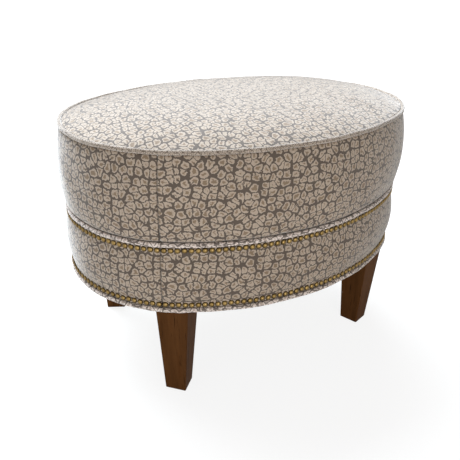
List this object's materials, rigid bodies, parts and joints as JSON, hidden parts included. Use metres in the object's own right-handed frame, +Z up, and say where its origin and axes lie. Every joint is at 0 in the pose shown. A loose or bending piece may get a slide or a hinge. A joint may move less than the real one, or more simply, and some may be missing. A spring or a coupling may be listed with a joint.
{
  "type": "footstool",
  "caption": "Oval upholstered footstool with a crowned padded seat, piped seams, nail-trimmed apron and four tapered square wooden legs.",
  "frame": {"origin": "on the floor, under the middle of the oval", "axes": "+X along the oval's length to the right as seen from the front, +Y from front to rear, +Z up"},
  "size_m": [0.616, 0.4618, 0.4305],
  "materials": {
    "leg_wood": "dark walnut stain, satin lacquer",
    "steel": "zinc plated",
    "frame_wood": "raw plywood and softwood",
    "webbing": "woven jute",
    "foam": "open-cell foam",
    "batting": "polyester wadding",
    "cover": "woven upholstery cloth with a grey and taupe leopard spot",
    "cord": "twisted cotton piping cord",
    "nail_brass": "antique brass",
    "dust_cloth": "black non-woven cloth"
  },
  "bodies": {
    "root": {"leg_front_left": "leg_wood", "leg_front_right": "leg_wood", "leg_rear_left": "leg_wood", "leg_rear_right": "leg_wood", "hanger_bolts": "steel", "tee_nuts": "steel", "leg_block_front_left": "frame_wood", "leg_block_front_right": "frame_wood", "leg_block_rear_left": "frame_wood", "leg_block_rear_right": "frame_wood", "frame_post_right": "frame_wood", "frame_post_rear": "frame_wood", "frame_post_left": "frame_wood", "frame_post_front": "frame_wood", "frame_screws": "steel", "base_ring": "frame_wood", "deck_ring": "frame_wood", "apron_band_rear_right": "frame_wood", "apron_band_rear_left": "frame_wood", "apron_band_front_left": "frame_wood", "apron_band_front_right": "frame_wood", "webbing_long_1": "webbing", "webbing_long_2": "webbing", "webbing_long_3": "webbing", "webbing_cross_1": "webbing", "webbing_cross_2": "webbing", "webbing_cross_3": "webbing", "webbing_cross_4": "webbing", "webbing_cross_5": "webbing", "webbing_staples": "steel", "burlap_deck": "webbing", "seat_foam": "foam", "seat_batting": "batting", "seat_top_panel": "cover", "seat_boxing_front": "cover", "apron_cover_front": "cover", "seat_boxing_rear": "cover", "apron_cover_rear": "cover", "apron_padding": "batting", "top_welt": "cover", "top_welt_cord": "cord", "mid_welt": "cover", "mid_welt_cord": "cord", "bottom_welt": "cover", "bottom_welt_cord": "cord", "upper_nails": "nail_brass", "lower_nails": "nail_brass", "dust_cover": "dust_cloth", "dust_cover_staples": "steel"}
  },
  "joints": []
}
